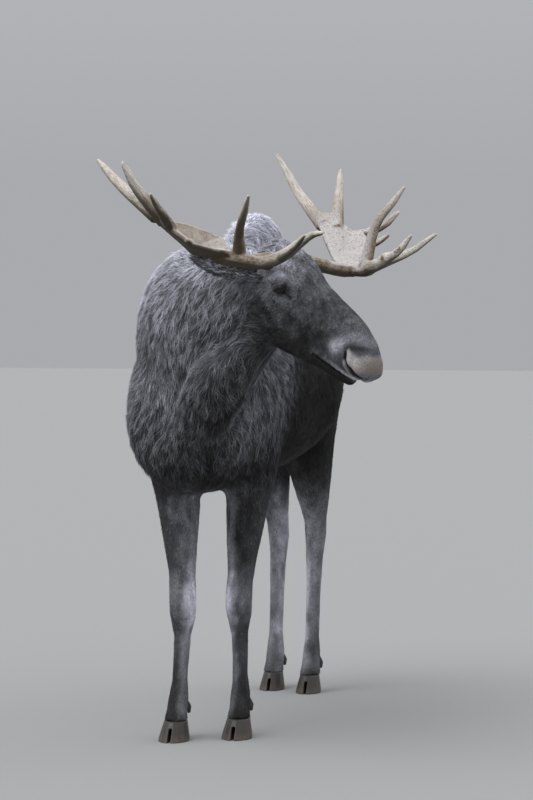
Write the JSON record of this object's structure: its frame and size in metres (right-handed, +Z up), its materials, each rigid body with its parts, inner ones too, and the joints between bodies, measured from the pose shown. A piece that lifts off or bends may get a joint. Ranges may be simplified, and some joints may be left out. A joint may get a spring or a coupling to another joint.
{
  "type": "bull moose",
  "caption": "Life-size still model of a standing bull moose with its head turned to its left, palmate antlers, shaggy neck and cloven hooves.",
  "frame": {"origin": "on the ground, below the middle of the whole animal's box", "axes": "+Z up, the body faces -Y, the animal's left side is +X; the head is turned to its left"},
  "size_m": [1.259, 2.6024, 2.2283],
  "materials": {
    "coat_dark": "coarse dark grey-brown fur with paler tips",
    "coat_leg": "short pale grey fur",
    "antler": "bare bone, furrowed and rubbed pale at the tips",
    "hoof": "dark horn",
    "eye": "wet dark brown"
  },
  "bodies": {
    "root": {"antler_left_beam": "antler", "antler_left_brow": "antler", "antler_left_palm": "antler", "antler_right_beam": "antler", "antler_right_brow": "antler", "antler_right_palm": "antler", "dewclaw_front_left_left": "hoof", "dewclaw_front_left_right": "hoof", "dewclaw_front_right_left": "hoof", "dewclaw_front_right_right": "hoof", "dewclaw_hind_left_left": "hoof", "dewclaw_hind_left_right": "hoof", "dewclaw_hind_right_left": "hoof", "dewclaw_hind_right_right": "hoof", "ear_left": "coat_dark", "ear_right": "coat_dark", "eye_left": "eye", "eye_right": "eye", "head": "coat_dark", "hoof_front_left": "hoof", "hoof_front_right": "hoof", "hoof_hind_left": "hoof", "hoof_hind_right": "hoof", "leg_front_left": "coat_leg", "leg_front_right": "coat_leg", "leg_hind_left": "coat_leg", "leg_hind_right": "coat_leg", "neck": "coat_dark", "tail": "coat_dark", "trunk": "coat_dark"}
  },
  "joints": []
}
